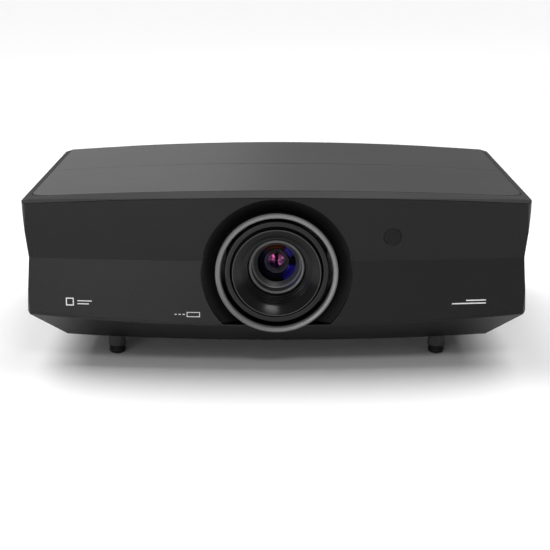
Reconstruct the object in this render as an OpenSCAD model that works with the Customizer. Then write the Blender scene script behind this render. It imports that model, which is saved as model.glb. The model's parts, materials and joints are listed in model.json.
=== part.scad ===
// Home projector: a wide, low cabinet with a shifted zoom lens, on four screw feet.
// The front faces -Y. Each part is drawn in the cabinet's own frame, where x = 0 is the
// lens's plane, y = 0 is the foremost line of the front and z = 0 is the cabinet's underside,
// and seated() then moves it so that the feet stand on z = 0 and the depth is centred.

/* [Cabinet] */
// Width across the widest line of the front
body_w = 498; // [480:1:510]
// Depth from the trim ring to the button caps
body_d = 331; // [325:1:340]
// Height of the front's upper edge above the underside, at the middle
front_h = 153.8; // [150:0.1:158]
// Rise of the sloped rim band up to the top panels
rim_rise = 4.4; // [3:0.1:6]
// Width of the sloped rim band at the front
rim_front = 13.7; // [11:0.1:16]
// Width of the sloped rim band at the sides
rim_side = 7.5; // [6:0.1:10]
// Height of the rim's upright outer edge at the sides
rim_step = 1.8; // [1:0.1:2.4]
// How much lower the top is at the sides than at the middle
crown = 9.1; // [6:0.1:11]
// How far the front bows forward at the middle
bow = 14.8; // [10:0.1:18]
// Height of the crease across the front
waist_h = 89.9; // [84:0.1:95]
// Depth of the crease
waist_in = 5.1; // [3:0.1:6]
// Height of the front's lower edge at the middle
lower_h = 25.7; // [22:0.1:28]
// How much higher the lower edge is at the sides
lower_rise = 9.3; // [7:0.1:11]
// How far the underside is set back from the front
under_in = 33; // [28:1:36]
// Depth at which the top ends and the rear slope begins
top_d = 287; // [280:1:292]
// Height where the rear slope ends
slope_h = 132; // [128:1:138]
// Thickness of the cabinet's walls
wall = 3; // [2.5:0.1:3.5]

/* [Top cover] */
// Depth of the access door's hinge line
hinge_d = 150; // [146:1:152]
// Gap round the top panels
panel_gap = 1; // [0.6:0.1:1.2]
// Radius of the panels' front corners
panel_corner = 16; // [8:1:20]
// Thickness of the top panels
panel_t = 2.4; // [2:0.1:2.6]

/* [Lens] */
// Height of the lens's axis above the underside
lens_h = 78.3; // [77:0.1:79]
// Outer radius of the dished surround
dish_r = 74.2; // [72:0.1:74.4]
// Outer radius of the trim ring
ring_r = 60; // [59:0.1:61]
// Inner radius of the trim ring
ring_in = 54.9; // [54.5:0.1:56]
// Outer radius of the focus ring
focus_r = 51.3; // [50:0.1:51.4]
// Radius of the front element
glass_r = 22.8; // [20:0.1:23]
// Travel of the lens to each side
shift_x = 2.5; // [1:0.1:2.5]
// Travel of the lens up and down
shift_z = 3; // [1:0.1:3]

/* [Feet] */
// Height of the underside above the table
foot_h = 21; // [19:0.5:24]
// Radius of a foot's knob
foot_r = 8.8; // [8:0.1:9]
// Distance of the feet from the middle
foot_x = 165; // [150:1:168]
// Depth of the front feet
foot_front_d = 55; // [55:1:60]
// Depth of the rear feet
foot_rear_d = 286; // [270:1:292]

/* [Hidden] */

$fn = 96;
big_fn = 720;
eps = 0.01;
half_w = body_w / 2;
top_h = front_h + rim_rise;
crown_r = (half_w * half_w + crown * crown) / (2 * crown);
bow_r = (half_w * half_w + bow * bow) / (2 * bow);
lower_r = (half_w * half_w + lower_rise * lower_rise) / (2 * lower_rise);
rim_tilt = atan(rim_rise / rim_front);
rear_d = body_d - 1.5;
slope_tilt = -atan((top_h - slope_h) / (rear_d - top_d));
lower_in = 1.1;
// The underside's slope: its run per unit of height, its bow and the lip left above it
under_run = (under_in - lower_in) / lower_h;
under_bow = bow + lower_rise * under_run;
slope_r = (half_w * half_w + under_bow * under_bow) / (2 * under_bow);
lip = 1;
corner_r = 12;
reach = 700;
panel_x = half_w - rim_side;
seam = 0.4;
bezel_d = 62;
rear_cover_d = 283;
// Door hinge: axis height and the radius of the door's rounded rear edge
hinge_z = top_h - 6.2;
nose_r = 6.6;
nose_clear = 0.5;
knuckle_r = 2.8;
pin_r = 1.2;
run = 0.05;
hinge_xs = [-45, 45];
// Tray under the door
tray_z = 138;
tray_t = 2;
tray_x = 228;
tray_front = 26;
tray_rear = 138;
bay_x = 67;
bay_rear = 96;
// Infrared window
window_x = 112.4;
window_z = 114;
window_r = 8.8;
// Lens stations, as depths behind the trim ring's face
focus_front = 6.5;
focus_back = 24;
barrel_front = 25;
hood_back = 34;
zoom_front = 30;
zoom_back = 50;
flange_front = 76;
lift_front = 80;
lift_back = 86;
slide_front = 86.5;
slide_back = 94.5;
mount_front = 97;
mount_back = 100;
barrel_back = 118;
lift_rod_x = 44;
slide_rod_z = 49;
rod_r = 2.5;
dial_d = 70;
slide_dial_x = -84;
lift_dial_x = 82;
lift_dial_z = 131;
// Tab under the middle of the base
tab_w = 12;
tab_h = 2;
tab_d = 40;
// Feet
foot_spots = [[-foot_x, foot_front_d], [foot_x, foot_front_d], [-foot_x, foot_rear_d],
    [foot_x, foot_rear_d]];
stud_r = 3.9;
tip_h = 8;
insert_h = 16;
// Threaded inserts for a ceiling bracket
mount_dx = 220;
mount_dy = 150;
mount_mid_d = 168;
insert_r = 2;
// Fans: middle of the frame and the direction of its axis
fan_size = 84;
fan_t = 20;
fan_bore = 39.5;
left_fan = [-236, 150, 78];
right_fan = [216, 215, 78];
engine_fan = [0, 254, 90];
wheel = [100, 150, 80];
// Keypad on the rear cover
pad_x = -165;
pad_z = 84;
button_r = 4.6;
arrow_pitch = 13;
button_back = body_d;
switch_d = 320.6;
board_z = 40;
// Rear sockets: middle x, middle z, width, height, and the wall round the opening
sockets = [[-24, 50, 15, 6, 1.2], [0, 50, 15, 6, 1.2], [24, 50, 13, 6, 1.2], [46, 50, 12, 11, 4],
    [70, 52, 16, 13, 1], [104, 50, 31, 11, 4]];
jacks = [[128, 50], [142, 50]];
inlet_x = 170;
inlet_z = 56;
io_x0 = -42;
io_x1 = 196;
io_z0 = 40;
io_z1 = 74;

// Where things stand

module seated() {
    translate([0, -body_d / 2, foot_h]) children();
}

module block(x0, x1, y0, y1, z0, z1) {
    translate([x0, y0, z0]) cube([x1 - x0, y1 - y0, z1 - z0]);
}

module rod_x(r, x0, x1, y, z) {
    translate([x0, y, z]) rotate([0, 90, 0]) cylinder(r = r, h = x1 - x0);
}

module rod_y(r, x, y0, y1, z) {
    translate([x, y0, z]) rotate([-90, 0, 0]) cylinder(r = r, h = y1 - y0);
}

module on_axis() {
    translate([0, 0, lens_h]) rotate([-90, 0, 0]) rotate_extrude($fn = 180) children();
}

module both_sides() {
    children();
    mirror([1, 0, 0]) children();
}

// The cabinet's outer form, with every face moved in by o

module crowned(y, z, tilt, o) {
    translate([0, y, z]) rotate([tilt, 0, 0]) translate([0, 0, -crown_r]) rotate([90, 0, 0])
        cylinder(r = crown_r - o, h = 2 * reach, center = true, $fn = big_fn);
}

module above_lower_edge(o) {
    translate([0, 0, lower_h + lower_r]) rotate([90, 0, 0])
        cylinder(r = lower_r - o, h = 2 * reach, center = true, $fn = big_fn);
}

// The sloped face under the front, which follows both the bow and the arch of the lower edge
module behind_slope(o) {
    high = lower_h + 2 * lower_rise;
    middle_d = lower_in + (lower_h - lip + 1) * under_run;
    high_d = lower_in - (high - lower_h + lip) * under_run;
    shift = o * sqrt(1 + under_run * under_run);
    translate([0, slope_r + middle_d, -1])
        cylinder(r1 = slope_r - shift, r2 = slope_r + middle_d - high_d - shift, h = high + 1, $fn = big_fn);
}

function front_in(z) = z > waist_h
    ? waist_in * (front_h - z) / (front_h - waist_h)
    : lower_in + (waist_in - lower_in) * (z - lower_h) / (waist_h - lower_h);

module bowed_front(o) {
    top = top_h + 9;
    foot_r0 = bow_r - front_in(-1) - o;
    crease_r = bow_r - front_in(waist_h) - o;
    brow_r = bow_r - front_in(top) - o;
    translate([0, bow_r, -1]) cylinder(r1 = foot_r0, r2 = crease_r, h = waist_h + 1, $fn = big_fn);
    translate([0, bow_r, waist_h]) cylinder(r1 = crease_r, r2 = brow_r, h = top - waist_h, $fn = big_fn);
}

module side_profile(o) {
    edge_h = lower_h + lower_rise;
    brow_h = front_h - crown;
    step_h = brow_h + rim_step - 0.3 * o;
    rise = 30;
    run_in = rise * rim_side / (rim_rise - rim_step);
    half = [[half_w - edge_h + 1 - 0.4 * o, o], [half_w - lower_in - o, edge_h - 0.4 * o],
        [half_w - waist_in - o, waist_h], [half_w - o, brow_h - 0.3 * o],
        [half_w - o, step_h], [half_w - o - run_in, step_h + rise]];
    last = len(half) - 1;
    polygon(concat(half, [for (i = [0:last]) [-half[last - i][0], half[last - i][1]]]));
}

module plan(o) {
    r = corner_r;
    front = bow - 1.7 + o;
    square_w = half_w - r - o;
    translate([-half_w + o, front + r]) square([body_w - 2 * o, rear_d - o - front - 2 * r]);
    translate([-square_w, -reach / 2]) square([2 * square_w, reach / 2 + rear_d - o]);
    for (x = [-1, 1], y = [front + r, rear_d - o - r])
        translate([x * square_w, y]) circle(r = r);
}

module form(o) {
    intersection() {
        bowed_front(o);
        translate([0, reach, 0]) rotate([90, 0, 0]) linear_extrude(2 * reach) side_profile(o);
        linear_extrude(2 * top_h) plan(o);
        crowned(0, top_h, 0, o);
        crowned(0, front_h, rim_tilt, o);
        crowned(top_d, top_h, slope_tilt, o);
    }
}

// The same form, cut off by the sloped face under the front
module sloped_form(o) {
    intersection() {
        form(o);
        behind_slope(o);
    }
}

module shell() {
    difference() {
        form(0);
        form(wall);
    }
}

module below_rim(o) {
    crowned(0, front_h, 0, o);
}

module belt(d0, d1) {
    intersection() {
        shell();
        above_lower_edge(seam / 2);
        below_rim(seam / 2);
        block(-reach, reach, d0, d1, -1, reach);
    }
}

// Cabinet

module foot_boss(x, d) {
    translate([x, d, eps]) cylinder(r = 10, h = insert_h - 1);
}

module mount_spots() {
    for (x = [-1, 1], y = [-1, 1])
        translate([x * mount_dx / 2, mount_mid_d + y * mount_dy / 2, 0]) children();
}

screw_spots = [[-205, 105], [205, 105], [-205, 205], [205, 205], [-120, 300], [0, 300], [120, 300],
    [-90, 52], [90, 52]];

module base_pan() {
    color([0.11, 0.11, 0.11]) seated() difference() {
        union() {
            difference() {
                sloped_form(0);
                sloped_form(wall);
                above_lower_edge(0);
            }
            for (s = foot_spots) foot_boss(s[0], s[1]);
            mount_spots() translate([0, 0, eps]) cylinder(r = 7, h = 10);
            block(-tab_w / 2, tab_w / 2, tab_d, tab_d + tab_w, -tab_h, wall / 2);
        }
        for (s = foot_spots) translate([s[0], s[1], -1]) cylinder(r = 6, h = insert_h + 2);
        mount_spots() translate([0, 0, -1]) cylinder(r = 3.5, h = 13);
        for (s = screw_spots) {
            translate([s[0], s[1], -1]) cylinder(r = 1.5, h = 8);
            translate([s[0], s[1], -1]) cylinder(r = 2.8, h = 2.8);
        }
        rod_y(ring_r + 0.3, 0, -5, 45, lens_h);
        for (i = [0:21]) block(-93 + i * 8.6, -89.4 + i * 8.6, 226, 258, -1, 4);
    }
}

module window_turn() {
    rotate([-94.5, 0, 3]) children();
}

module front_bezel() {
    window_d = bow * pow(window_x / half_w, 2) + front_in(window_z);
    color([0.16, 0.16, 0.16]) seated() difference() {
        belt(-5, bezel_d - seam / 2);
        rod_y(dish_r, 0, -5, 30, lens_h);
        translate([window_x, window_d, window_z]) window_turn()
            cylinder(r = window_r, h = 20, center = true);
    }
}

module lens_surround() {
    color([0.07, 0.07, 0.07]) seated() union() {
        intersection() {
            form(0);
            block(-reach, reach, -5, 40, lower_h + 2 * seam, top_h);
            on_axis() polygon([[dish_r - 0.1, 5.6], [dish_r - 0.1, 9], [ring_r - 1, 19.5],
                [ring_r - 1, 16.5], [64, 13]]);
        }
        on_axis() polygon([[ring_in + 1.8, 4.05], [ring_r - 0.1, 4.05], [ring_r - 0.1, 24],
            [ring_in + 1, 24], [ring_in + 1, 5.4]]);
    }
}

module lens_trim_ring() {
    color([0.55, 0.55, 0.56]) seated() on_axis()
        polygon([[ring_in, 1.2], [ring_in + 0.7, 0.3], [ring_r - 1.4, 0], [ring_r, 1], [ring_r, 4],
            [ring_in + 1.6, 4], [ring_in, 6]]);
}

// Outline of the top's opening, moved in by g
module panel_plan(g) {
    r = panel_corner;
    x = panel_x + 0.5 - g;
    edge = bow + rim_front + g - 1.5;
    back = top_d - 1.2 - g;
    intersection() {
        translate([0, bow_r]) circle(r = bow_r - rim_front + 0.5 - g, $fn = big_fn);
        union() {
            translate([-x, edge + r]) square([2 * x, back - edge - r]);
            translate([-x + r, -reach / 2]) square([2 * (x - r), reach / 2 + back]);
            for (s = [-1, 1]) translate([s * (x - r), edge + r]) circle(r = r);
        }
    }
}

module panel_slab(g, top_o, bottom_o) {
    difference() {
        intersection() {
            linear_extrude(2 * top_h) panel_plan(g);
            crowned(0, top_h, 0, top_o);
        }
        crowned(0, top_h, 0, bottom_o);
    }
}

module dial_ear(x) {
    difference() {
        block(x, x + 3, dial_d - 6, dial_d + 6, lift_dial_z - 5, tray_z + eps);
        rod_x(2 + run, x - 1, x + 4, dial_d, lift_dial_z);
    }
}

module tray() {
    difference() {
        union() {
            block(-tray_x, tray_x, tray_front, tray_rear, tray_z, tray_z + tray_t);
            both_sides() block(tray_x - 2, tray_x, tray_front, tray_rear, tray_z, 147.2);
        }
        block(-bay_x, bay_x, tray_front - 1, bay_rear, tray_z - 1, tray_z + 4);
        translate([slide_dial_x, dial_d, tray_z - 1]) cylinder(r = 2 + run, h = 5);
        block(lift_dial_x - 5, lift_dial_x + 5, dial_d - 16, dial_d + 16, tray_z - 1, tray_z + 4);
    }
    dial_ear(lift_dial_x - 9);
    dial_ear(lift_dial_x + 6);
}

module top_frame() {
    color([0.3, 0.3, 0.3]) seated() {
        difference() {
            shell();
            below_rim(-seam / 2);
            linear_extrude(2 * top_h) panel_plan(0);
        }
        difference() {
            intersection() {
                linear_extrude(2 * top_h) panel_plan(-3);
                crowned(0, top_h, 0, panel_t + 0.2);
                form(wall - 0.5);
            }
            crowned(0, top_h, 0, panel_t + 1.5);
            linear_extrude(2 * top_h) panel_plan(7);
            block(-half_w, half_w, hinge_d - 9, hinge_d + 13, 0, reach);
        }
        tray();
    }
}

module nose(r) {
    rod_x(r, -half_w, half_w, hinge_d, hinge_z);
    block(-half_w, half_w, hinge_d - eps, hinge_d + r, hinge_z - 30, hinge_z);
}

module rear_top_panel() {
    color([0.3, 0.3, 0.3]) seated() difference() {
        panel_slab(panel_gap, 0, panel_t);
        nose(nose_r + nose_clear);
        block(-half_w, half_w, -5, hinge_d, 0, reach);
    }
}

module lens_access_door() {
    color([0.32, 0.32, 0.32]) seated() {
        intersection() {
            panel_slab(panel_gap, 0, panel_t);
            union() {
                block(-half_w, half_w, -5, hinge_d, 0, reach);
                nose(nose_r);
            }
        }
        for (x = hinge_xs) difference() {
            union() {
                rod_x(knuckle_r, x - 6, x + 6, hinge_d, hinge_z);
                block(x - 6, x + 6, hinge_d - 2, hinge_d + 2, hinge_z, hinge_z + 3.8);
            }
            rod_x(pin_r + run, x - 7, x + 7, hinge_d, hinge_z);
        }
    }
}

module door_hinges() {
    foot_z = hinge_z - 12;
    color([0.6, 0.6, 0.62]) seated() for (x = hinge_xs) {
        rod_x(pin_r, x - 12, x + 12, hinge_d, hinge_z);
        for (s = [x - 12, x + 6.4]) difference() {
            union() {
                rod_x(knuckle_r - 0.3, s, s + 5.6, hinge_d, hinge_z);
                block(s, s + 5.6, hinge_d - 2, hinge_d + 2, foot_z, hinge_z);
                block(s, s + 5.6, hinge_d - 2, hinge_d + 22, foot_z - 2, foot_z);
                block(s, s + 5.6, hinge_d + 18, hinge_d + 22, foot_z - eps, top_h - panel_t - 0.5);
            }
            rod_x(pin_r, s - 1, s + 7, hinge_d, hinge_z);
        }
    }
}

module side_slots(d0, d1, z0, count, pitch) {
    for (i = [0:count - 1]) block(half_w - 20, half_w + 5, d0, d1, z0 + i * pitch, z0 + 3.2 + i * pitch);
}

module left_side_cover() {
    color([0.15, 0.15, 0.15]) seated() difference() {
        intersection() {
            belt(bezel_d + seam / 2, rear_cover_d - seam / 2);
            block(-reach, -half_w + 30, 0, reach, 0, reach);
        }
        mirror([1, 0, 0]) side_slots(108, 192, 44, 12, 6.6);
        mirror([1, 0, 0]) side_slots(68, 98, 44, 8, 6.6);
    }
}

module right_side_cover() {
    color([0.15, 0.15, 0.15]) seated() difference() {
        intersection() {
            belt(bezel_d + seam / 2, rear_cover_d - seam / 2);
            block(half_w - 30, reach, 0, reach, 0, reach);
        }
        side_slots(173, 257, 44, 12, 6.6);
        side_slots(68, 98, 44, 8, 6.6);
    }
}

module at_buttons() {
    for (a = [0:90:270]) translate([pad_x + arrow_pitch * cos(a), 0, pad_z + arrow_pitch * sin(a)])
        children();
}

module rear_cover() {
    color([0.13, 0.13, 0.13]) seated() difference() {
        belt(rear_cover_d + seam / 2, reach);
        block(io_x0, io_x1, rear_d - 6, rear_d + 5, io_z0, io_z1);
        for (x = [0, 36]) rod_y(button_r + 0.3, pad_x + x, rear_d - 6, rear_d + 5, pad_z);
        for (a = [0:90:270])
            rod_y(3.3, pad_x + arrow_pitch * cos(a), rear_d - 6, rear_d + 5, pad_z + arrow_pitch * sin(a));
        for (i = [0:29]) block(-60 + i * 8.6, -56.4 + i * 8.6, rear_d - 6, rear_d + 5, 84, 116);
    }
}

module io_panel() {
    color([0.2, 0.2, 0.21]) seated() difference() {
        block(io_x0 + 0.2, io_x1 - 0.2, rear_d - 3.5, rear_d - 1.5, io_z0 + 0.2, io_z1 - 0.2);
        for (s = sockets)
            block(s[0] - s[2] / 2, s[0] + s[2] / 2, rear_d - 5, rear_d + 1, s[1] - s[3] / 2, s[1] + s[3] / 2);
        for (j = jacks) rod_y(3.5, j[0], rear_d - 5, rear_d + 1, j[1]);
        block(inlet_x - 14, inlet_x + 14, rear_d - 5, rear_d + 1, inlet_z - 11, inlet_z + 11);
    }
}

module ir_window() {
    window_d = bow * pow(window_x / half_w, 2) + front_in(window_z);
    color([0.05, 0.03, 0.04]) seated() translate([window_x, window_d + 0.2, window_z]) window_turn()
        cylinder(r = window_r - 0.5, h = 2.4);
}

module case_screws() {
    color([0.2, 0.2, 0.2]) seated() for (s = screw_spots) translate([s[0], s[1], 0]) difference() {
        union() {
            translate([0, 0, 0.3]) cylinder(r = 2.7, h = 1.5);
            translate([0, 0, 1]) cylinder(r = 1.5, h = 8);
        }
        translate([0, 0, -1]) cylinder(r = 1.1, h = 2.2, $fn = 6);
    }
}

module threaded_inserts() {
    color([0.75, 0.6, 0.3]) seated() {
        mount_spots() difference() {
            cylinder(r = 3.5, h = 10);
            translate([0, 0, -1]) cylinder(r = insert_r, h = 12);
        }
        for (s = foot_spots) translate([s[0], s[1], 0]) difference() {
            cylinder(r = 6, h = insert_h - 1);
            translate([0, 0, -1]) cylinder(r = stud_r + 0.1, h = insert_h + 1);
        }
    }
}

// Feet

module foot_tip(i) {
    color([0.04, 0.04, 0.04]) seated() translate([foot_spots[i][0], foot_spots[i][1], -foot_h])
        rotate_extrude() polygon([[0, 0], [5.5, 0], [7.6, 1.2], [8.3, 3.2], [8.3, tip_h], [3, tip_h],
            [3, tip_h - 4], [0, tip_h - 4]]);
}

module foot_screw(i) {
    color([0.16, 0.16, 0.16]) seated() translate([foot_spots[i][0], foot_spots[i][1], -foot_h])
        rotate_extrude() polygon([[0, tip_h - 3.7], [2.9, tip_h - 3.7], [2.9, tip_h + 0.3],
            [foot_r - 0.5, tip_h + 0.3], [foot_r, tip_h + 0.8],
            [foot_r, foot_h - 1], [foot_r - 0.6, foot_h - 0.4],
            [stud_r, foot_h - 0.4], [stud_r, foot_h + 14], [0, foot_h + 14]]);
}

// Lens

module focus_ring() {
    color([0.2, 0.2, 0.2]) seated() on_axis()
        polygon([[45.3, focus_front + 0.7], [46, focus_front], [focus_r - 1, focus_front],
            [focus_r, focus_front + 1], [focus_r, focus_back], [45.3, focus_back]]);
}

module lens_hood() {
    color([0.05, 0.05, 0.05]) seated() on_axis()
        polygon([[42.9, 2], [43.6, 2.6], [43.6, 9], [44.9, 9.5], [44.9, 27.3], [27.9, 27.3],
            [27.9, hood_back], [24.6, hood_back], [24.6, barrel_front], [27.6, barrel_front],
            [30.5, barrel_front - 0.5], [30.5, 15], [32.6, 14.6], [32.6, 9.8], [34.4, 9.4], [34.4, 8]]);
}

module lens_barrel() {
    color([0.3, 0.3, 0.31]) seated() on_axis()
        polygon([[28, 27.4], [44.2, 27.4],
            [44.2, flange_front], [52, flange_front], [52, lift_front], [30, lift_front],
            [30, barrel_back], [23, barrel_back], [23, 66], [14, 60], [8.2, 60], [8.2, 53], [9, 52],
            [11.8, 52], [12.2, 48], [22.9, 47.4], [22.9, hood_back + 1.5], [24.6, hood_back + 0.1],
            [28, hood_back + 0.1]]);
}

function bulge(r, height, steps) =
    [for (i = [0:steps]) let (x = r * i / steps) [x, height * (1 - pow(x / r, 2))]];

module lens_body(r, front, thick, bulge_front, bulge_back) {
    steps = 10;
    near = [for (p = bulge(r, bulge_front, steps)) [p[0], front + bulge_front - p[1]]];
    far = [for (p = bulge(r, bulge_back, steps)) [p[0], front + thick - bulge_back + p[1]]];
    on_axis() polygon(concat(near, [for (i = [steps:-1:0]) far[i]]));
}

module front_lens() {
    color([0.3, 0.25, 0.5]) seated() lens_body(glass_r, 37, 10, 6, 1);
}

module inner_lens() {
    color([0.6, 0.3, 0.5]) seated() lens_body(8.1, 54, 5.5, 1.8, 1);
}

module rear_lens() {
    color([0.3, 0.3, 0.5]) seated() lens_body(22.9, 106, 9, 2, 2);
}

module zoom_ring() {
    color([0.16, 0.16, 0.16]) seated() {
        on_axis() polygon([[44.5, zoom_front], [49, zoom_front], [50, zoom_front + 1],
            [50, zoom_back - 1], [49, zoom_back], [44.5, zoom_back]]);
        block(-4, 4, 36, 44, lens_h + 49.5, lens_h + 62);
    }
}

module lift_plate() {
    color([0.5, 0.5, 0.5]) seated() difference() {
        block(-52, 52, lift_front, lift_back, lens_h - 54, lens_h + 54);
        rod_y(30, 0, 70, 100, lens_h);
        both_sides() translate([lift_rod_x, (lift_front + lift_back) / 2, 0])
            cylinder(r = rod_r + run, h = 200);
    }
}

module lift_rods() {
    color([0.7, 0.7, 0.7]) seated() both_sides()
        translate([lift_rod_x, (lift_front + lift_back) / 2, lens_h - 65]) cylinder(r = rod_r, h = 130);
}

module slide_plate() {
    rod_d = (lift_front + lift_back) / 2;
    color([0.4, 0.4, 0.42]) seated() difference() {
        union() {
            block(-66, 66, slide_front, slide_back, lens_h - 65, lens_h + 56);
            both_sides() for (z = [-65, 58])
                block(lift_rod_x - 6, lift_rod_x + 6, lift_front, slide_back, lens_h + z, lens_h + z + 7);
            both_sides() block(lift_rod_x - 6, lift_rod_x + 6, slide_front, slide_back, lens_h, lens_h + 60);
        }
        rod_y(30 + shift_z + 1, 0, 70, 110, lens_h);
        both_sides() translate([lift_rod_x, rod_d, 0]) cylinder(r = rod_r, h = 200);
        for (z = [-slide_rod_z, slide_rod_z])
            rod_x(rod_r + run, -90, 90, (slide_front + slide_back) / 2, lens_h + z);
    }
}

module slide_rods() {
    color([0.7, 0.7, 0.7]) seated() for (z = [-slide_rod_z, slide_rod_z])
        rod_x(rod_r, -78, 78, (slide_front + slide_back) / 2, lens_h + z);
}

module lens_mount() {
    clear = 30 + shift_x + shift_z + 1;
    color([0.35, 0.35, 0.36]) seated() difference() {
        union() {
            block(-80, 80, mount_front, mount_back, wall, lens_h + 58);
            both_sides() block(70, 80, slide_front, mount_back, wall, lens_h + 58);
        }
        rod_y(clear, 0, 80, 110, lens_h);
        for (z = [-slide_rod_z, slide_rod_z])
            rod_x(rod_r, -90, 90, (slide_front + slide_back) / 2, lens_h + z);
    }
}

module lift_dial() {
    color([0.14, 0.14, 0.14]) seated() {
        rod_x(15, lift_dial_x - 4, lift_dial_x + 4, dial_d, lift_dial_z);
        rod_x(2, lift_dial_x - 12, lift_dial_x + 10, dial_d, lift_dial_z);
    }
}

module slide_dial() {
    color([0.14, 0.14, 0.14]) seated() translate([slide_dial_x, dial_d, 0]) {
        translate([0, 0, tray_z + tray_t + 0.3]) cylinder(r = 14, h = 6);
        translate([0, 0, tray_z - 12]) cylinder(r = 2, h = 16);
        translate([0, 0, tray_z - 12]) cylinder(r = 5, h = 4);
    }
}

// Light path

module optical_engine() {
    color([0.45, 0.45, 0.47]) seated() difference() {
        union() {
            block(-62, 62, mount_back, 200, 36, 124);
            for (x = [-56, 44], y = [108, 182]) block(x, x + 12, y, y + 12, wall, 36 + eps);
        }
        rod_y(37, 0, 90, 124, lens_h);
        rod_y(20, 0, 90, 180, lens_h);
        block(-63, -15, 140, 156, 62, 94);
        block(15, 63, 126, 136, 62, 94);
    }
}

module laser_module() {
    color([0.25, 0.27, 0.35]) seated() {
        block(-150, -72, 112, 188, 40, 100);
        block(-72 - eps, -62, 138, 158, 60, 96);
        for (x = [-146, -86], y = [116, 172]) block(x, x + 12, y, y + 12, wall, 40 + eps);
    }
}

module phosphor_wheel() {
    color([0.8, 0.75, 0.4]) seated() {
        rod_y(30, wheel[0], wheel[1], wheel[1] + 1.5, wheel[2]);
        rod_y(9, wheel[0], wheel[1] - 3, wheel[1] + 4, wheel[2]);
        rod_y(1.5, wheel[0], wheel[1], wheel[1] + 16, wheel[2]);
    }
}

module wheel_motor() {
    color([0.4, 0.4, 0.4]) seated() difference() {
        union() {
            rod_y(14, wheel[0], wheel[1] + 6, wheel[1] + 22, wheel[2]);
            block(wheel[0] - 12, wheel[0] + 12, wheel[1] + 10, wheel[1] + 18, wall, wheel[2]);
        }
        rod_y(1.5 + run, wheel[0], wheel[1] + 5, wheel[1] + 17, wheel[2]);
    }
}

module dmd_board() {
    color([0.1, 0.35, 0.2]) seated() {
        block(-50, 50, 200.2, 202, 44, 116);
        block(-18, 18, 202 - eps, 206, 62, 92);
    }
}

module heat_sink() {
    color([0.6, 0.6, 0.62]) seated() {
        block(-204, -152, 112, 188, 30, 34);
        for (i = [0:12]) block(-204 + i * 4.25, -203 + i * 4.25, 112, 188, 33.9, 98);
        block(-204, -152, 112, 188, 97.9, 100);
        for (x = [-202, -164]) block(x, x + 8, 140, 160, wall, 30 + eps);
        block(-34, 34, 206, 210, 54, 100);
        for (i = [0:10]) block(-34 + i * 6.7, -33 + i * 6.7, 210 - eps, 232, 54, 100);
    }
}

module heat_pipes() {
    color([0.72, 0.45, 0.3]) seated() for (y = [124, 140, 156, 172]) rod_x(3, -200, -80, y, 103);
}

// Electronics

module chip(x, y, w, d, z, h) {
    block(x, x + w, y, y + d, z, z + h);
}

module main_board() {
    color([0.1, 0.35, 0.2]) seated() {
        block(-60, 150, 262, 322, board_z, board_z + 1.6);
        chip(-30, 275, 28, 28, board_z + 1.5, 3);
        chip(20, 278, 20, 20, board_z + 1.5, 2.5);
        chip(60, 270, 14, 22, board_z + 1.5, 2);
        chip(100, 268, 30, 24, board_z + 1.5, 10);
        for (x = [-54, 40, 140], y = [266, 312])
            translate([x, y, wall]) cylinder(r = 3, h = board_z - wall);
    }
}

module power_supply() {
    color([0.1, 0.3, 0.18]) seated() {
        block(140, 205, 70, 200, 12, 13.6);
        chip(146, 80, 30, 34, 13.5, 32);
        chip(146, 130, 24, 24, 13.5, 24);
        for (y = [84, 106, 128]) translate([190, y, 13.5]) cylinder(r = 9, h = 34);
        for (y = [160, 184]) block(150, 195, y, y + 3, 13.5, 45);
        for (x = [146, 199], y = [76, 194]) translate([x, y, wall]) cylinder(r = 3, h = 12 - wall + eps);
    }
}

module speakers() {
    color([0.08, 0.08, 0.08]) seated() both_sides() {
        difference() {
            block(206, 238, 66, 102, 40, 96);
            rod_x(14, 230, 240, 84, 68);
        }
        rod_x(5, 226, 236, 84, 68);
    }
}

// A fan's frame or rotor, with its axis along +Z and its back at z = 0

module fan_frame() {
    difference() {
        translate([-fan_size / 2, -fan_size / 2, 0]) cube([fan_size, fan_size, fan_t]);
        translate([0, 0, -1]) cylinder(r = fan_bore, h = fan_t + 2);
    }
    difference() {
        union() {
            cylinder(r = 16, h = 3);
            for (a = [0:120:240]) rotate(a) translate([0, -2, 0]) cube([fan_bore + 1, 4, 2.5]);
        }
        translate([0, 0, -1]) cylinder(r = 1.5 + run, h = 5);
    }
}

module fan_rotor() {
    translate([0, 0, 3.5]) cylinder(r = 16, h = 14);
    translate([0, 0, 0.2]) cylinder(r = 1.5, h = 4);
    for (a = [0:51.43:310]) rotate(a) translate([15, 0, 10.5]) rotate([38, 0, 0])
        translate([0, -7.5, -0.7]) cube([22.5, 15, 1.4]);
}

module at_left_fan() {
    seated() translate(left_fan) rotate([0, 90, 0]) children();
}

module at_right_fan() {
    seated() translate(right_fan) rotate([0, 90, 0]) children();
}

module at_engine_fan() {
    seated() translate(engine_fan) rotate([90, 0, 0]) children();
}

module fan_frames() {
    color([0.12, 0.12, 0.12]) {
        at_left_fan() fan_frame();
        at_right_fan() fan_frame();
        at_engine_fan() fan_frame();
    }
}

module left_fan_rotor() {
    color([0.2, 0.2, 0.2]) at_left_fan() fan_rotor();
}

module right_fan_rotor() {
    color([0.2, 0.2, 0.2]) at_right_fan() fan_rotor();
}

module engine_fan_rotor() {
    color([0.2, 0.2, 0.2]) at_engine_fan() fan_rotor();
}

module power_inlet() {
    color([0.05, 0.05, 0.05]) seated() {
        difference() {
            block(inlet_x - 13.8, inlet_x + 13.8, 302, rear_d - 1, inlet_z - 10.8, inlet_z + 10.8);
            block(inlet_x - 12, inlet_x + 12, 310, rear_d + 1, inlet_z - 7.5, inlet_z + 8.5);
        }
        for (p = [[-7, -1], [0, 3], [7, -1]])
            block(inlet_x + p[0] - 1, inlet_x + p[0] + 1, 310 - eps, 322,
                inlet_z + p[1] - 2, inlet_z + p[1] + 2);
    }
}

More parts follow.
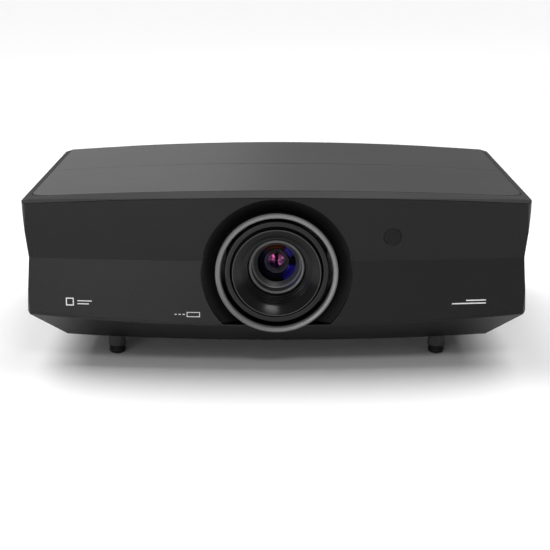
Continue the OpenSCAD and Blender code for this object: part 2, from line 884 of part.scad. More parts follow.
module io_connectors() {
    color([0.55, 0.55, 0.57]) seated() {
        for (s = sockets) difference() {
            union() {
                block(s[0] - s[2] / 2 + 0.2, s[0] + s[2] / 2 - 0.2, 314, rear_d - 1.2,
                    s[1] - s[3] / 2 + 0.2, s[1] + s[3] / 2 - 0.2);
                block(s[0] - s[2] / 2 + 1, s[0] + s[2] / 2 - 1, 314, rear_d - 3.7, board_z + 1.6, s[1]);
            }
            block(s[0] - s[2] / 2 + s[4], s[0] + s[2] / 2 - s[4], 318, rear_d + 1, s[1] - s[3] / 2 + s[4],
                s[1] + s[3] / 2 - s[4]);
        }
        for (j = jacks) difference() {
            rod_y(3.4, j[0], 314, rear_d - 1, j[1]);
            rod_y(1.8, j[0], 318, rear_d, j[1]);
        }
    }
}

module keypad_board() {
    color([0.1, 0.35, 0.2]) seated() {
        block(pad_x - 45, pad_x + 45, switch_d - 4.2, switch_d - 2.6, pad_z - 22, pad_z + 22);
        for (x = [0, 36]) rod_y(3, pad_x + x, switch_d - 2.7, switch_d, pad_z);
        at_buttons() rod_y(2.4, 0, switch_d - 2.7, switch_d, 0);
        for (x = [-42, 42])
            block(pad_x + x - 2, pad_x + x + 2, switch_d - 2.7, rear_d - wall, pad_z + 16, pad_z + 20);
    }
}

module round_button(x, z, r) {
    color([0.1, 0.1, 0.1]) seated() {
        rod_y(r, x, 322, button_back, z);
        rod_y(r + 0.9, x, 322, 324, z);
    }
}

module power_button() {
    round_button(pad_x + 36, pad_z, button_r);
}

module enter_button() {
    round_button(pad_x, pad_z, button_r);
}

module arrow_button(a) {
    round_button(pad_x + arrow_pitch * cos(a), pad_z + arrow_pitch * sin(a), 3);
}

base_pan();
front_bezel();
lens_surround();
lens_trim_ring();
top_frame();
rear_top_panel();
lens_access_door();
door_hinges();
left_side_cover();
right_side_cover();
rear_cover();
io_panel();
ir_window();
case_screws();
threaded_inserts();
foot_tip(0);  // front_left_foot_tip
foot_tip(1);  // front_right_foot_tip
foot_tip(2);  // rear_left_foot_tip
foot_tip(3);  // rear_right_foot_tip
foot_screw(0);  // front_left_foot_screw
foot_screw(1);  // front_right_foot_screw
foot_screw(2);  // rear_left_foot_screw
foot_screw(3);  // rear_right_foot_screw
focus_ring();
zoom_ring();
lens_hood();
lens_barrel();
front_lens();
inner_lens();
rear_lens();
lift_plate();
lift_rods();
slide_plate();
slide_rods();
lens_mount();
lift_dial();
slide_dial();
optical_engine();
laser_module();
phosphor_wheel();
wheel_motor();
dmd_board();
heat_sink();
heat_pipes();
main_board();
power_supply();
speakers();
fan_frames();
left_fan_rotor();
right_fan_rotor();
engine_fan_rotor();
power_inlet();
io_connectors();
keypad_board();
power_button();
enter_button();
arrow_button(90);  // up_button
arrow_button(270);  // down_button
arrow_button(0);  // left_button
arrow_button(180);  // right_button
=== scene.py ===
"""A home projector on a pale floor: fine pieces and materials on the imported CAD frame."""

import json
import math

import bmesh
import bpy
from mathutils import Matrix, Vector
from mathutils.bvhtree import BVHTree


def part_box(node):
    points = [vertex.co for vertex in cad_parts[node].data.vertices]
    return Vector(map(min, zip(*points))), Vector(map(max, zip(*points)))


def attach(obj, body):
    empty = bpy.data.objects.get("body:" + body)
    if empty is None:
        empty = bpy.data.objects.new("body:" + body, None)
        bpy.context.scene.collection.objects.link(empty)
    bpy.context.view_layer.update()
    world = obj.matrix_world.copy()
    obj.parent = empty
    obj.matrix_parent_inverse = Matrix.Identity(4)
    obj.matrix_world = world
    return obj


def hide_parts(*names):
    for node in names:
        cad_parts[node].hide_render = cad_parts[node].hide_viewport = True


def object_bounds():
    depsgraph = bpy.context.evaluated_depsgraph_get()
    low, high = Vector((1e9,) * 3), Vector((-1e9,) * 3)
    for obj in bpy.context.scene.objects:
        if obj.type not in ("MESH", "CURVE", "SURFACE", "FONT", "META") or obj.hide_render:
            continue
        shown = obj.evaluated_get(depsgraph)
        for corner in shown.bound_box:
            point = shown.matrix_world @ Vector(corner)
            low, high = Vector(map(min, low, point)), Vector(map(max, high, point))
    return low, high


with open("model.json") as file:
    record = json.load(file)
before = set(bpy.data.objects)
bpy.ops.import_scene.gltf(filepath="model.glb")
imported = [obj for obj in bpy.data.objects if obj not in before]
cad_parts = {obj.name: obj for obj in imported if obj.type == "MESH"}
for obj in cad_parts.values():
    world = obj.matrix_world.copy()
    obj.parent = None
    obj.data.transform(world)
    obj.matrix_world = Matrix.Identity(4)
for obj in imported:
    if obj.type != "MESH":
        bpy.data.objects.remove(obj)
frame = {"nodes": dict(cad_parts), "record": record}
nodes = frame["nodes"]
cad_low, cad_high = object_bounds()

MM = 0.001
SLOT_OF = {row["node"]: row["material_slot"] for row in frame["record"]["subparts"]}
BODY_OF = {n: body for body, members in frame["record"]["behaviour"]["bodies"].items() for n in members}

# The lens's axis runs along Y through the middle of the trim ring, and depths count back from its face
ring_low, ring_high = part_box("lens_trim_ring")
AXIS_X = (ring_low.x + ring_high.x) / 2
AXIS_Z = (ring_low.z + ring_high.z) / 2
FACE_Y = ring_low.y


# Materials


class Paint:
    """One node material built round a Principled shader, in the part's own coordinates."""

    def __init__(self, name, color, roughness, metallic=0.0):
        self.material = bpy.data.materials.new(name)
        self.material.use_nodes = True
        self.tree = self.material.node_tree
        self.shader = self.tree.nodes["Principled BSDF"]
        self.set("Base Color", (*color, 1))
        self.set("Roughness", roughness)
        self.set("Metallic", metallic)
        self.material.diffuse_color = (*color, 1)
        self.place = self.add("ShaderNodeTexCoord").outputs["Object"]

    def set(self, socket, value):
        self.shader.inputs[socket].default_value = value
        return self

    def add(self, kind, **settings):
        node = self.tree.nodes.new(kind)
        for key, value in settings.items():
            setattr(node, key, value)
        return node

    def link(self, source, target):
        self.tree.links.new(source, target)

    def noise(self, scale, detail=3.0, stretch=(1, 1, 1)):
        mapping = self.add("ShaderNodeMapping")
        mapping.inputs["Scale"].default_value = stretch
        self.link(self.place, mapping.inputs["Vector"])
        node = self.add("ShaderNodeTexNoise")
        node.inputs["Scale"].default_value = scale
        node.inputs["Detail"].default_value = detail
        self.link(mapping.outputs["Vector"], node.inputs["Vector"])
        return node.outputs["Fac"]

    def ramp(self, source, stops, ease="LINEAR"):
        node = self.add("ShaderNodeValToRGB")
        node.color_ramp.interpolation = ease
        spots = node.color_ramp.elements
        while len(spots) < len(stops):
            spots.new(0.5)
        for spot, (at, color) in zip(spots, stops):
            spot.position = at
            spot.color = (*color, 1)
        self.link(source, node.inputs["Fac"])
        return node.outputs["Color"]

    def remap(self, source, low, high, start=0.3, end=0.7):
        node = self.add("ShaderNodeMapRange")
        node.inputs["From Min"].default_value = start
        node.inputs["From Max"].default_value = end
        node.inputs["To Min"].default_value = low
        node.inputs["To Max"].default_value = high
        self.link(source, node.inputs["Value"])
        return node.outputs["Result"]

    def math(self, operation, a, b):
        node = self.add("ShaderNodeMath", operation=operation)
        for socket, value in zip(node.inputs, (a, b)):
            if isinstance(value, (int, float)):
                socket.default_value = value
            else:
                self.link(value, socket)
        return node.outputs["Value"]

    def tint(self, source, dark, light, start=0.35, end=0.65):
        """The colour wanders between two tones."""
        self.link(self.ramp(source, [(start, dark), (end, light)]), self.shader.inputs["Base Color"])
        return self

    def gloss(self, source, low, high):
        """The roughness wanders between two values."""
        self.link(self.remap(source, low, high), self.shader.inputs["Roughness"])
        return self

    def bump(self, source, height, strength=1.0):
        """Adds relief of that height in metres over what is already there."""
        node = self.add("ShaderNodeBump")
        node.inputs["Distance"].default_value = height
        node.inputs["Strength"].default_value = strength
        self.link(source, node.inputs["Height"])
        normal = self.shader.inputs["Normal"]
        if normal.is_linked:
            self.link(normal.links[0].from_socket, node.inputs["Normal"])
        self.link(node.outputs["Normal"], normal)
        return self

    def axes(self):
        """The spot's X, Y and Z in the part's frame."""
        split = self.add("ShaderNodeSeparateXYZ")
        self.link(self.place, split.inputs["Vector"])
        return split.outputs

    def radius(self, x=AXIS_X, z=AXIS_Z):
        """Distance from an axis along Y."""
        spot = self.axes()
        across = self.math("SUBTRACT", spot["X"], x)
        up = self.math("SUBTRACT", spot["Z"], z)
        squares = self.math("ADD", self.math("MULTIPLY", across, across), self.math("MULTIPLY", up, up))
        return self.math("SQRT", squares, 0)

    def turned_lines(self, density):
        """Fine lines left by turning, which run round the lens's axis."""
        lines = self.add("ShaderNodeTexNoise", noise_dimensions="1D")
        lines.inputs["Scale"].default_value = 1
        self.link(self.math("MULTIPLY", self.radius(), density), lines.inputs["W"])
        return lines.outputs["Fac"]


def tones(color, spread):
    return [tuple(c * (1 - spread) for c in color), tuple(c * (1 + spread) for c in color)]


def moulded(name, color, roughness, grain_mm=0.5, relief=0.02, specular=0.35):
    """Moulded plastic: fine spark-eroded grain, faint colour drift and uneven gloss."""
    paint = Paint(name, color, roughness)
    paint.set("Specular IOR Level", specular)
    paint.tint(paint.noise(14), *tones(color, 0.05))
    paint.gloss(paint.noise(600), roughness - 0.03, roughness + 0.03)
    paint.bump(paint.noise(1 / (grain_mm * MM), 4), relief * MM, 0.35)
    return paint


def cabinet_dark():
    return moulded("cabinet_dark", (0.006, 0.006, 0.0062), 0.3, specular=0.19)


def cabinet_top():
    """Smoked grey panels with very fine brushing across them."""
    paint = moulded("cabinet_top", (0.026, 0.026, 0.0262), 0.4, specular=0.36)
    paint.bump(paint.noise(900, 2, stretch=(0.03, 1, 1)), 0.004 * MM, 0.3)
    return paint


def rim_dark():
    """The rim's plastic, duller than the front's, with a painted shade: dead black in a narrow band beside
    the panels, where the cleft between rim and panel lies in shadow.
    """
    panel_low, panel_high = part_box("lens_access_door")
    opening = panel_high.x + 1.05 * MM
    slot = opening - 2.2 * MM
    paint = moulded("rim_dark", (0.05, 0.05, 0.0502), 0.7, specular=0.0)
    spot = paint.axes()
    across = paint.math("ABSOLUTE", spot["X"], 0)
    inside = paint.remap(across, 1, 0, opening, opening + 0.05 * MM)
    beside = paint.math("MULTIPLY", inside, paint.remap(across, 0, 1, slot, slot + 0.1 * MM))
    back = panel_low.y + 30 * MM
    # painted shade: the rim's colour goes to black in a band beside the panels, standing in for the shadow
    # down in the cleft
    gap_painted_shade = paint.math("MULTIPLY", beside, paint.remap(spot["Y"], 0, 1, back, back + MM))
    shade = paint.remap(paint.noise(14), 0.475, 0.525)
    lit = paint.math("MULTIPLY", shade, paint.math("SUBTRACT", 1, gap_painted_shade))
    stops = [(0.0, (0.0, 0.0, 0.0)), (1.0, (0.1, 0.1, 0.1004))]
    paint.link(paint.ramp(lit, stops), paint.shader.inputs["Base Color"])
    return paint


def mask_black():
    """Matt black of the aperture plate behind the front element."""
    return moulded("mask_black", (0.002, 0.002, 0.002), 0.8, specular=0.04)


def base_black():
    return moulded("base_black", (0.004, 0.004, 0.0041), 0.42, specular=0.25)


def satin_ring():
    """Anodised ring, turned, so its fine lines run round the axis."""
    paint = Paint("satin_ring", (0.2, 0.2, 0.202), 0.42, metallic=0.4)
    lines = paint.turned_lines(5200)
    paint.tint(lines, (0.14, 0.14, 0.142), (0.21, 0.21, 0.212))
    paint.gloss(paint.noise(80), 0.38, 0.46)
    paint.bump(lines, 0.01 * MM, 0.5)
    return paint


def lens_black():
    """Black anodised hood with concentric turning lines."""
    paint = Paint("lens_black", (0.004, 0.004, 0.0041), 0.22)
    paint.set("Specular IOR Level", 0.27)
    lines = paint.turned_lines(3000)
    paint.bump(lines, 0.012 * MM, 0.6)
    paint.tint(paint.noise(30), (0.0035, 0.0035, 0.0036), (0.0045, 0.0045, 0.0046))
    paint.gloss(paint.noise(120), 0.2, 0.26)
    return paint


def lens_metal():
    """Dark machined metal of the rings and the barrel."""
    paint = Paint("lens_metal", (0.07, 0.07, 0.071), 0.4, metallic=0.6)
    lines = paint.turned_lines(4200)
    paint.tint(lines, (0.05, 0.05, 0.051), (0.09, 0.09, 0.091))
    paint.gloss(paint.noise(90), 0.36, 0.44)
    paint.bump(lines, 0.01 * MM, 0.5)
    return paint


def coated_glass_with_painted_reflections(name, base, alpha):
    """A lens face as a thin clear mirror in the coating's tint, with painted reflections: the colour and
    strength change round the axis.
    """
    paint = Paint(name, (0.3, 0.3, 0.6), 0.05, metallic=1.0)
    paint.link(base(paint), paint.shader.inputs["Base Color"])
    paint.link(alpha(paint), paint.shader.inputs["Alpha"])
    paint.gloss(paint.noise(300), 0.04, 0.08)
    paint.bump(paint.noise(60), 0.001 * MM, 0.1)
    return paint


def bearing(paint, degrees):
    """How far a spot lies towards a bearing round the lens's axis, from -1 to 1."""
    spot = paint.axes()
    across = paint.math("SUBTRACT", spot["X"], AXIS_X)
    up = paint.math("SUBTRACT", spot["Z"], AXIS_Z)
    turn = math.radians(degrees)
    sideways = paint.math("MULTIPLY", across, math.cos(turn))
    upwards = paint.math("MULTIPLY", up, math.sin(turn))
    return paint.math("DIVIDE", paint.math("ADD", sideways, upwards), paint.math("ADD", paint.radius(), 1e-5))


def painted_reflection(paint, degrees, spread, inner, outer):
    """A painted coloured reflection towards one bearing, between two radii in mm."""
    edge = math.cos(math.radians(spread))
    wedge = paint.remap(bearing(paint, degrees), 0, 1, edge, edge + 0.6 * (1 - edge))
    fade_in = paint.remap(paint.radius(), 0, 1, (inner - 1.2) * MM, (inner + 1.2) * MM)
    fade_out = paint.remap(paint.radius(), 1, 0, (outer - 0.8) * MM, (outer + 0.8) * MM)
    return paint.math("MULTIPLY", wedge, paint.math("MULTIPLY", fade_in, fade_out))


def glass():
    """Painted violet-blue reflections to the right and a painted red-brown reflection crescent at the top,
    clear elsewhere.
    """

    def color(paint):
        # painted reflection colour: violet-blue round most of the ring, red-brown towards the top
        stops = [(0.0, (0.09, 0.06, 0.95)), (0.72, (0.14, 0.1, 0.8)), (0.9, (0.3, 0.085, 0.04))]
        return paint.ramp(bearing(paint, 96), stops)

    def alpha(paint):
        # painted reflections: bearing and radius set where the violet-blue and red-brown show
        violet = paint.math("MAXIMUM", painted_reflection(paint, 44, 20, 15.5, 21), painted_reflection(paint, -36, 34, 12.5, 21))
        brown = paint.math("MULTIPLY", painted_reflection(paint, 98, 42, 16.2, 21), 0.6)
        front = paint.remap(paint.axes()["Y"], 1, 0, FACE_Y + 43.5 * MM, FACE_Y + 44 * MM)
        return paint.math("ADD", paint.math("MULTIPLY", paint.math("MAXIMUM", violet, brown), front), 0.003)

    return coated_glass_with_painted_reflections("glass", color, alpha)


def pink_glass():
    """The inner element, with painted magenta reflections either side of a dark middle, flecked lighter by
    noise.
    """

    def color(paint):
        # painted reflection colour: dark red through magenta to pale pink flecks
        stops = [(0.35, (0.1, 0.008, 0.04)), (0.52, (0.32, 0.06, 0.2)), (0.66, (0.75, 0.35, 0.65))]
        return paint.ramp(paint.noise(380, 2), stops)

    def alpha(paint):
        across = paint.math("ABSOLUTE", paint.math("SUBTRACT", paint.axes()["X"], AXIS_X), 0)
        # painted reflections: strength rises away from the middle on either side, broken up by noise
        lobes = paint.remap(across, 0, 1, 1.1 * MM, 2.4 * MM)
        return paint.math("MULTIPLY", lobes, paint.remap(paint.noise(260, 1), 0.12, 0.5, 0.42, 0.58))

    return coated_glass_with_painted_reflections("pink_glass", color, alpha)


def ir_plastic():
    return moulded("ir_plastic", (0.006, 0.0055, 0.0058), 0.3, 0.4, 0.001, 0.19)


def rubber():
    return moulded("rubber", (0.006, 0.006, 0.006), 0.6, 0.7, 0.05, 0.25)


def inner_plastic():
    return moulded("inner_plastic", (0.02, 0.02, 0.021), 0.45, 0.6, 0.02, 0.4)


def metal(name, color, roughness, stretch, relief):
    """Bare metal with a drawn or ground lay and faint stains."""
    paint = Paint(name, color, roughness, metallic=1.0)
    lay = paint.noise(900, 2, stretch=stretch)
    paint.tint(paint.noise(40), *tones(color, 0.1))
    paint.gloss(lay, roughness - 0.07, roughness + 0.1)
    paint.bump(lay, relief * MM, 0.5)
    return paint


def steel():
    return metal("steel", (0.5, 0.5, 0.51), 0.25, (0.05, 1, 1), 0.008)


def brass():
    return metal("brass", (0.72, 0.53, 0.25), 0.28, (1, 1, 0.2), 0.01)


def aluminium():
    return metal("aluminium", (0.42, 0.43, 0.44), 0.42, (1, 0.3, 0.3), 0.03)


def copper():
    return metal("copper", (0.68, 0.34, 0.2), 0.24, (0.05, 1, 1), 0.006)


def screw_black():
    return moulded("screw_black", (0.02, 0.02, 0.021), 0.35, 0.3, 0.01, 0.5)


def board():
    """Green solder mask over copper tracks, with bare pads."""
    paint = Paint("board", (0.01, 0.09, 0.04), 0.35)
    paint.set("Coat Weight", 0.4)
    tracks = paint.add("ShaderNodeTexBrick")
    tracks.inputs["Scale"].default_value = 160
    tracks.inputs["Color1"].default_value = (0.008, 0.075, 0.032, 1)
    tracks.inputs["Color2"].default_value = (0.012, 0.1, 0.045, 1)
    tracks.inputs["Mortar"].default_value = (0.03, 0.19, 0.08, 1)
    tracks.inputs["Mortar Size"].default_value = 0.05
    paint.link(paint.place, tracks.inputs["Vector"])
    paint.link(tracks.outputs["Color"], paint.shader.inputs["Base Color"])
    paint.gloss(paint.noise(200), 0.3, 0.45)
    paint.bump(tracks.outputs["Fac"], 0.03 * MM, 0.4)
    return paint


def phosphor():
    """Yellow phosphor band on a polished disc."""
    low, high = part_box("phosphor_wheel")
    paint = Paint("phosphor", (0.7, 0.62, 0.15), 0.5)
    radius = paint.radius((low.x + high.x) / 2, (low.z + high.z) / 2)
    steps = [(0.0, (0.5, 0.5, 0.5)), (0.57, (0.75, 0.66, 0.12)), (0.94, (0.5, 0.5, 0.52))]
    scaled = paint.math("MULTIPLY", radius, 2 / (high.x - low.x))
    paint.link(paint.ramp(scaled, steps, "CONSTANT"), paint.shader.inputs["Base Color"])
    paint.gloss(paint.noise(150), 0.35, 0.6)
    paint.bump(paint.noise(1500), 0.01 * MM, 0.4)
    return paint


def print_white():
    """White ink of the printed marks."""
    paint = Paint("print_white", (0.75, 0.75, 0.75), 0.5)
    paint.tint(paint.noise(900), (0.68, 0.68, 0.68), (0.8, 0.8, 0.8))
    paint.gloss(paint.noise(500), 0.45, 0.6)
    paint.bump(paint.noise(2500), 0.01 * MM, 0.3)
    return paint


MAKERS = [cabinet_dark, cabinet_top, rim_dark, mask_black, base_black, satin_ring, lens_black, lens_metal,
          glass, pink_glass, ir_plastic, rubber, inner_plastic, steel, brass, aluminium, copper, screw_black,
          board, phosphor, print_white]
MATERIALS = {make.__name__: make().material for make in MAKERS}


# Mesh helpers


def mesh_piece(name, points, faces, material, smooth=True):
    mesh = bpy.data.meshes.new(name)
    mesh.from_pydata([tuple(p) for p in points], [], faces)
    mesh.validate()
    mesh.materials.append(MATERIALS[material])
    piece = bpy.data.objects.new(name, mesh)
    bpy.context.scene.collection.objects.link(piece)
    if smooth:
        smooth_by_angle(piece, 35)
    return piece


def smooth_by_angle(piece, degrees):
    mesh = piece.data
    mesh.polygons.foreach_set("use_smooth", [True] * len(mesh.polygons))
    mesh.set_sharp_from_angle(angle=math.radians(degrees))


def stands_for(piece, node):
    """The piece rides on the node's body and takes its place."""
    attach(piece, BODY_OF[node])
    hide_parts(node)


def rides_with(piece, node):
    """The piece is one more on the node's body."""
    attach(piece, BODY_OF[node])


def rounded(profile, radius, steps=3):
    """A closed outline of (r, depth) points with its corners rounded; points on the axis stay."""
    count = len(profile)
    out = []
    for i, point in enumerate(profile):
        here = Vector(point)
        before = Vector(profile[i - 1]) - here
        after = Vector(profile[(i + 1) % count]) - here
        turn = before.angle(after) if before.length and after.length else math.pi
        cut = min(radius / max(math.tan(turn / 2), 0.05), before.length * 0.45, after.length * 0.45)
        if here.x < 1e-6 or turn > math.radians(165):
            out.append(here)
            continue
        start = here + before.normalized() * cut
        end = here + after.normalized() * cut
        for k in range(steps + 1):
            t = k / steps
            out.append(start * (1 - t) ** 2 + here * (2 * t * (1 - t)) + end * t ** 2)
    return out


def lathe(name, profile, material, origin=(AXIS_X, FACE_Y, AXIS_Z), along="Y", fillet=0.25,
          segments=160, wave=None):
    """A closed outline of (radius, distance) in mm turned round an axis; wave(angle, r, d) moves a point."""
    outline = rounded(profile, fillet)
    ways = {"X": lambda u, v, d: (d, u, v), "Y": lambda u, v, d: (u, d, v), "Z": lambda u, v, d: (u, v, d)}
    turned = ways[along]
    points = []
    for k in range(segments):
        angle = 2 * math.pi * k / segments
        for p in outline:
            r = p.x + (wave(angle, p.x, p.y) if wave else 0)
            spot = turned(r * math.cos(angle), r * math.sin(angle), p.y)
            points.append([o + c * MM for o, c in zip(origin, spot)])
    count = len(outline)
    faces = []
    for k in range(segments):
        near, far = k * count, ((k + 1) % segments) * count
        for i in range(count):
            j = (i + 1) % count
            if outline[i].x < 1e-6 and outline[j].x < 1e-6:
                continue
            faces.append((near + i, near + j, far + j, far + i))
    piece = mesh_piece(name, points, faces, material, smooth=False)
    tidy_mesh(piece)
    smooth_by_angle(piece, 35)
    return piece


def tidy_mesh(piece):
    """Joins doubled points, drops flat faces and turns every face outwards."""
    work = bmesh.new()
    work.from_mesh(piece.data)
    bmesh.ops.remove_doubles(work, verts=work.verts, dist=1e-6)
    bmesh.ops.dissolve_degenerate(work, edges=work.edges, dist=1e-7)
    bmesh.ops.recalc_face_normals(work, faces=work.faces)
    work.to_mesh(piece.data)
    work.free()


# Stage


def add_camera():
    """A long lens in front of the projector, a little above it and looking down."""
    distance, height, down = 1.1344, 0.4257, 16.09
    data = bpy.data.cameras.new("view")
    data.sensor_width = 36
    data.lens = 79.5
    data.shift_x = -0.003
    camera = bpy.data.objects.new("view", data)
    camera.location = (0, cad_low.y - distance, height)
    camera.rotation_euler = (math.radians(90 - down), 0, 0)
    bpy.context.scene.collection.objects.link(camera)
    bpy.context.scene.camera = camera


def add_floor():
    side = 30
    mesh = bpy.data.meshes.new("floor")
    corners = [(-side, -side, 0), (side, -side, 0), (side, side, 0), (-side, side, 0)]
    mesh.from_pydata(corners, [], [(0, 1, 2, 3)])
    floor = bpy.data.objects.new("floor", mesh)
    paint = Paint("floor", (0.88, 0.88, 0.88), 0.3)
    paint.gloss(paint.noise(90), 0.29, 0.31)
    mesh.materials.append(paint.material)
    bpy.context.scene.collection.objects.link(floor)


def add_softbox(name, place, aim, size, power):
    data = bpy.data.lights.new(name, "AREA")
    data.shape = "RECTANGLE"
    data.size, data.size_y = size
    data.energy = power
    lamp = bpy.data.objects.new(name, data)
    lamp.location = place
    lamp.rotation_euler = (Vector(aim) - Vector(place)).to_track_quat("-Z", "Y").to_euler()
    bpy.context.scene.collection.objects.link(lamp)


def add_sun(name, towards, spread, strength):
    data = bpy.data.lights.new(name, "SUN")
    data.energy = strength
    data.angle = math.radians(spread)
    lamp = bpy.data.objects.new(name, data)
    lamp.rotation_euler = Vector(towards).to_track_quat("-Z", "Y").to_euler()
    bpy.context.scene.collection.objects.link(lamp)


def add_lights():
    """Two wide soft suns from above, a dim white room, a card behind, a low card in front and a small box."""
    world = bpy.data.worlds.new("studio")
    world.use_nodes = True
    world.node_tree.nodes["Background"].inputs["Color"].default_value = (1, 1, 1, 1)
    world.node_tree.nodes["Background"].inputs["Strength"].default_value = 0.25
    bpy.context.scene.world = world
    middle = (0, 0, 0.1)
    add_sun("left_sun", (0.44, -0.32, -0.86), 45, 2.6)
    add_sun("right_sun", (-0.44, -0.32, -0.86), 45, 2.1)
    add_softbox("back_card", (-1.2, 2.2, 1.0), middle, (2.6, 1.2), 4.5)
    add_softbox("front_card", (-0.9, -2.6, 0.42), middle, (1.4, 0.5), 16)
    add_softbox("lens_box", (0.24, -1.1, 1.3), middle, (0.5, 0.3), 4)
    bpy.context.scene.view_settings.view_transform = "Standard"


# The lens, as outlines of (radius, depth behind the trim ring's face) in mm


def grooves(count, depth, on):
    """A wave for lathe() that cuts in count times a turn, wherever on(r, d) holds."""
    return lambda angle, r, d: -depth * (0.5 + 0.5 * math.cos(count * angle)) if on(r, d) else 0


def add_outer_rings():
    """The trim ring on the casing and the focus ring inside it."""
    trim = [(54.9, 2.4), (55.9, 0.9), (56.5, 0.7), (58.3, 0.25), (58.6, 0), (60, 1.3), (60, 4), (56.5, 4),
            (54.9, 6)]
    stands_for(lathe("trim_ring", trim, "satin_ring", fillet=0.3, segments=240), "lens_trim_ring")
    knurl = grooves(96, 0.35, lambda r, d: r > 51.2 and d > 9)
    focus = [(45.3, 7.2), (46, 6.5), (50.5, 6.5), (51.3, 7.3), (51.3, 24), (45.3, 24)]
    stands_for(lathe("focus_ring_knurled", focus, "lens_black", segments=480, wave=knurl), "focus_ring")


def add_hood():
    """The stepped hood, a thin ring of lighter metal on its front edge as a painted highlight, and the sleeve
    at its bottom.
    """
    hood = [(42.6, 2.9), (43.6, 2.9), (43.6, 9), (44.9, 9.5), (44.9, 27.2), (28.1, 27.2), (28.1, 25.1),
            (28.8, 24.2), (29.2, 21.2), (30.3, 20.8), (30.6, 17.2), (31.8, 16.8), (32, 13), (33.1, 12.6),
            (33.3, 9.6), (34.4, 9.2), (34.5, 8.2)]
    stands_for(lathe("stepped_hood", hood, "lens_black", segments=200), "lens_hood")
    # painted highlight: a thin lighter metal ring on the hood's front edge, part shape and part a stand-in
    # for the light caught along that edge
    painted_highlight_ring = [(42.5, 2.9), (42.8, 2.1), (43.3, 2.1), (43.6, 2.5), (43.6, 2.9)]
    rides_with(lathe("hood_painted_highlight_ring", painted_highlight_ring, "lens_metal", fillet=0.1), "lens_hood")
    sleeve = [(25, 25.3), (27.3, 25), (27.9, 25.6), (27.9, 34), (24.6, 34), (24.6, 31.6), (25, 31.2),
              (24.6, 30.8), (24.6, 29), (25, 28.6), (24.6, 28.2), (24.6, 26)]
    rides_with(lathe("front_sleeve", sleeve, "lens_metal"), "lens_hood")


def add_barrel():
    """The barrel with the retainer of the front element and the aperture plate behind it."""
    barrel = [(28, 27.4), (44.2, 27.4), (44.2, 76), (52, 76), (52, 80), (30, 80), (30, 118), (23, 118),
              (23, 66), (14, 60), (8.2, 60), (8.2, 53), (9, 52), (11.8, 52), (12.2, 48), (22.9, 47.4),
              (22.9, 45), (24.6, 43), (24.6, 34.1), (28, 34.1)]
    stands_for(lathe("barrel", barrel, "lens_metal", segments=200), "lens_barrel")
    retainer = [(19.2, 41), (19.5, 40.4), (23, 37.4), (23.9, 37.4), (24.5, 38), (24.5, 42.8), (23, 43.2),
                (22.4, 42.6)]
    rides_with(lathe("front_retainer", retainer, "lens_metal"), "lens_barrel")
    edge = [(23, 37.3), (23, 36.7), (23.6, 36), (24.5, 35.4), (24.5, 37.9), (23.9, 37.3)]
    rides_with(lathe("retainer_edge", edge, "satin_ring", fillet=0.15), "lens_barrel")
    mask = [(12.3, 47.0), (22.7, 47.0), (22.7, 47.4), (12.3, 47.9)]
    rides_with(lathe("aperture_mask", mask, "mask_black"), "lens_barrel")
    ring = [(8.3, 51.2), (11.3, 47.7), (11.7, 47.6), (11.7, 51.8), (8.3, 51.8)]
    rides_with(lathe("inner_ring", ring, "lens_metal"), "lens_barrel")


def add_glass():
    stands_for(lathe("front_element", lens_outline(22.8, 37, 10, 6, 1), "glass", fillet=0), "front_lens")
    inner = lens_outline(8.1, 54, 5.5, 1.8, 1)
    stands_for(lathe("inner_element", inner, "pink_glass", fillet=0), "inner_lens")
    stands_for(lathe("rear_element", lens_outline(22.9, 106, 9, 2, 2), "glass", fillet=0), "rear_lens")


def add_zoom_band():
    knurl = grooves(72, 0.4, lambda r, d: r > 49.9)
    band = [(44.5, 30), (49, 30), (50, 31), (50, 49), (49, 50), (44.5, 50)]
    stands_for(lathe("zoom_band", band, "inner_plastic", segments=360, wave=knurl), "zoom_ring")


def lens_outline(radius, front, thick, front_rise, back_rise, steps=24):
    """A lens's outline from the axis out and back, with its two crowned faces."""
    reach = [i / steps for i in range(steps + 1)]
    near = [(radius * t, front + front_rise * t * t) for t in reach]
    far = [(radius * t, front + thick - back_rise * t * t) for t in reversed(reach)]
    return near + far


# The feet


def add_feet():
    ribs = grooves(30, 0.45, lambda r, d: r > 8.3 and 9 < d < 19.8)
    for name in ("front_left", "front_right", "rear_left", "rear_right"):
        low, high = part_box(name + "_foot_tip")
        base = ((low.x + high.x) / 2, (low.y + high.y) / 2, low.z)
        tip = [(0, 0), (5.5, 0), (7.6, 1.2), (8.3, 3.2), (8.3, 5.2), (7.7, 5.6), (7.7, 6.2), (8.3, 6.6),
               (8.3, 8), (3, 8), (3, 4), (0, 4)]
        stands_for(lathe(name + "_rubber_tip", tip, "rubber", base, "Z", 0.5, 64), name + "_foot_tip")
        knob = [(0, 4.3), (2.9, 4.3), (2.9, 8.3), (8.3, 8.3), (8.8, 8.9), (8.8, 19.9), (8.2, 20.6),
                (3.9, 20.6), (3.9, 35), (0, 35)]
        screw = lathe(name + "_knob", knob, "inner_plastic", base, "Z", 0.3, 240, ribs)
        stands_for(screw, name + "_foot_screw")


# Finish of the CAD nodes


def finish_nodes():
    """Every CAD node takes its slot's material; its own normals already shade it smooth."""
    for name, node in nodes.items():
        node.data.materials.clear()
        node.data.materials.append(MATERIALS["rim_dark" if name == "top_frame" else SLOT_OF[name]])


# Printed marks on the front: plain shapes laid on the bezel, each an outline of (x, z) in mm


def bezel_surface():
    node = nodes["front_bezel"]
    corners = [v.co for v in node.data.vertices]
    return BVHTree.FromPolygons(corners, [p.vertices[:] for p in node.data.polygons])


def bar_outline(x, z, length, height, pieces=8):
    """The quads of a thin upright-ended bar that starts at (x, z)."""
    cuts = [x + length * i / pieces for i in range(pieces + 1)]
    return [((a, z), (b, z), (b, z + height), (a, z + height)) for a, b in zip(cuts, cuts[1:])]


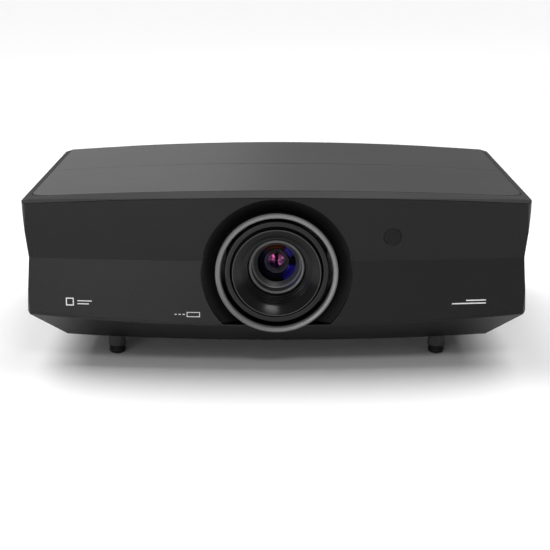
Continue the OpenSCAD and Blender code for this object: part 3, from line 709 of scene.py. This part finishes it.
def frame_outline(x, z, length, height, thick):
    sides = [(x, z, length, thick), (x, z + height - thick, length, thick)]
    inner = height - 2 * thick
    ends = [(x, z + thick, thick, inner), (x + length - thick, z + thick, thick, inner)]
    return [quad for side in sides + ends for quad in bar_outline(*side)]


def add_mark(name, quads, surface):
    """Lays thin ink on the front, its back just inside the surface and its face just proud."""
    spots, faces = {}, []
    proud, sunk = 0.05 * MM, 0.1 * MM

    def spot(x, z, lift):
        key = (round(x, 4), round(z, 4), lift)
        if key not in spots:
            hit = surface.ray_cast(Vector((x * MM, cad_low.y - 0.05, z * MM)), Vector((0, 1, 0)))[0]
            spots[key] = (len(spots), (x * MM, hit.y - lift, z * MM))
        return spots[key][0]

    edges = {}
    for quad in quads:
        front = [spot(x, z, proud) for x, z in quad]
        back = [spot(x, z, -sunk) for x, z in quad]
        faces += [tuple(front), tuple(reversed(back))]
        for i in range(4):
            j = (i + 1) % 4
            side = (front[i], front[j], back[j], back[i])
            twin = tuple(sorted((front[i], front[j])))
            if twin in edges:
                edges[twin] = None
            else:
                edges[twin] = side
    faces += [side for side in edges.values() if side]
    points = [point for _, point in sorted(spots.values())]
    piece = mesh_piece(name, points, faces, "print_white")
    tidy_mesh(piece)
    rides_with(piece, "front_bezel")


def add_marks():
    surface = bezel_surface()
    add_mark("badge_print", frame_outline(-208.5, 63.6, 8, 8, 1.1) + bar_outline(-197, 68.2, 14.5, 1)
             + bar_outline(-197, 65.2, 11.5, 1), surface)
    icon = frame_outline(-88.5, 54.5, 13, 5, 0.7) + bar_outline(-100.5, 56.6, 2, 0.9, 1)
    icon += bar_outline(-96.5, 56.6, 2, 0.9, 1) + bar_outline(-92.5, 56.6, 2, 0.9, 1)
    add_mark("lens_icon_print", icon, surface)
    bars = bar_outline(173, 65.6, 34, 1.2, 16) + bar_outline(187, 68.6, 20, 1.2, 10)
    add_mark("front_print", bars, surface)


finish_nodes()
add_outer_rings()
add_hood()
add_barrel()
add_glass()
add_zoom_band()
add_feet()
add_marks()
add_camera()
add_floor()
add_lights()
